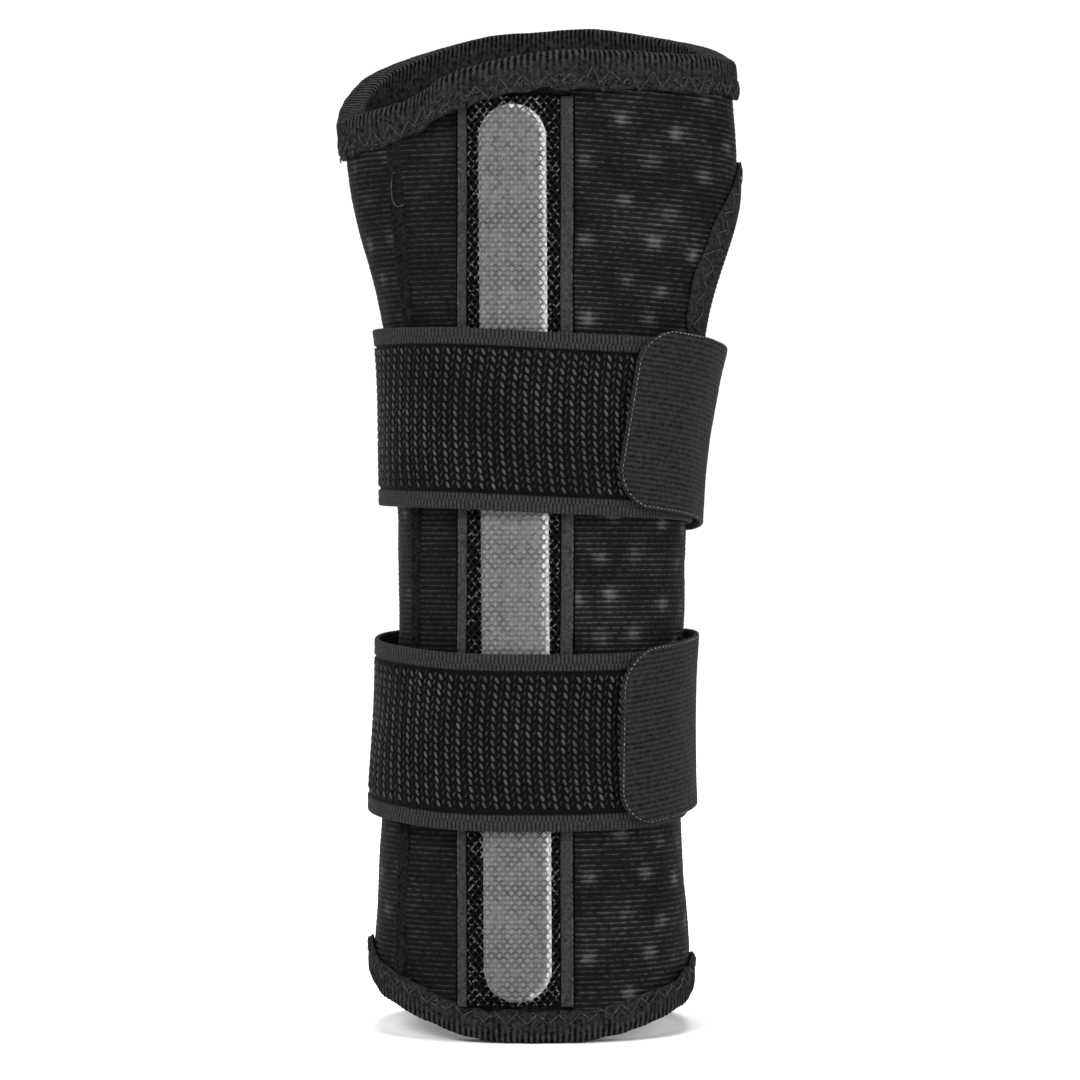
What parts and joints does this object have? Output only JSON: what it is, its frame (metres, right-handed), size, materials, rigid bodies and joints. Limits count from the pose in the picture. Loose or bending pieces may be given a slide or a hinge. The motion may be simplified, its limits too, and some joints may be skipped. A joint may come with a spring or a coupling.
{
  "type": "wrist splint",
  "caption": "Left-hand wrist splint: padded sleeve with thumb hole, metal stay in a net pocket on the back of the hand, and elastic straps with hook tabs.",
  "frame": {"origin": "centre of the outer box, at the forearm end that the splint stands on", "axes": "+Z towards the fingers, +X to the thumb side, -Y out of the back of the hand"},
  "size_m": [0.086, 0.0634, 0.215],
  "materials": {
    "lining_cloth": "brushed knitted polyester, black, soft",
    "perforated_foam": "perforated foam laminate, black",
    "ribbed_knit": "fine horizontally ribbed nylon knit, black, slight sheen",
    "seam_tape": "flat knitted tape, black",
    "binding_tape": "ribbed binding tape, folded over the edge and zigzag stitched, black",
    "pocket_tape": "smooth woven tape, dark grey",
    "pocket_net": "fine open nylon net, smoke grey",
    "stay_metal": "flat satin aluminium bar with round ends",
    "strap_elastic": "woven elastic, black with rows of grey dashes and ribbed edges",
    "tab_tape": "brushed tape, charcoal",
    "hook_tape": "moulded nylon hook tape, black"
  },
  "bodies": {
    "sleeve": {"lining": "lining_cloth", "dorsal_foam": "perforated_foam", "palmar_foam": "perforated_foam", "radial_knit_panel": "ribbed_knit", "ulnar_knit_panel": "ribbed_knit", "palmar_knit_panel": "ribbed_knit", "ulnar_seam_tape": "seam_tape", "palmar_seam_tape": "seam_tape", "hand_binding": "binding_tape", "forearm_binding": "binding_tape", "thumb_binding": "binding_tape", "pocket_backing": "pocket_tape", "pocket_net": "pocket_net", "pocket_tape_radial": "pocket_tape", "pocket_tape_ulnar": "pocket_tape", "upper_strap_front": "strap_elastic", "upper_strap_anchor": "binding_tape", "lower_strap_front": "strap_elastic", "lower_strap_anchor": "binding_tape"},
    "stay": {"dorsal_stay": "stay_metal"},
    "upper_strap": {"upper_strap_palmar": "strap_elastic"},
    "upper_tab": {"upper_tab": "tab_tape", "upper_hook_patch": "hook_tape"},
    "lower_strap": {"lower_strap_palmar": "strap_elastic"},
    "lower_tab": {"lower_tab": "tab_tape", "lower_hook_patch": "hook_tape"}
  },
  "joints": [
    {"name": "stay_slide", "type": "slide", "parent": "sleeve", "child": "stay", "axis": [-0.007, 0.014, 0.9999], "range_m": [0, 0.18]},
    {"name": "upper_tab_peel", "type": "hinge", "parent": "upper_strap", "child": "upper_tab", "pos_m": [0.03047, 0.02296, 0.12356], "axis": [0, 0, 1], "range_deg": [0, 150]},
    {"name": "upper_strap_swing", "type": "hinge", "parent": "sleeve", "child": "upper_strap", "pos_m": [-0.03515, 0.0062, 0.12861], "axis": [0, 0, 1], "range_deg": [0, 24]},
    {"name": "lower_tab_peel", "type": "hinge", "parent": "lower_strap", "child": "lower_tab", "pos_m": [0.02774, 0.0209, 0.0659], "axis": [0, 0, 1], "range_deg": [0, 150]},
    {"name": "lower_strap_swing", "type": "hinge", "parent": "sleeve", "child": "lower_strap", "pos_m": [-0.03596, 0.00634, 0.06492], "axis": [0, 0, 1], "range_deg": [0, 24]}
  ],
  "couplings": [
    {"joint": "upper_strap_swing", "follows": "upper_tab_peel", "ratio": 0.16},
    {"joint": "lower_strap_swing", "follows": "lower_tab_peel", "ratio": 0.16}
  ]
}
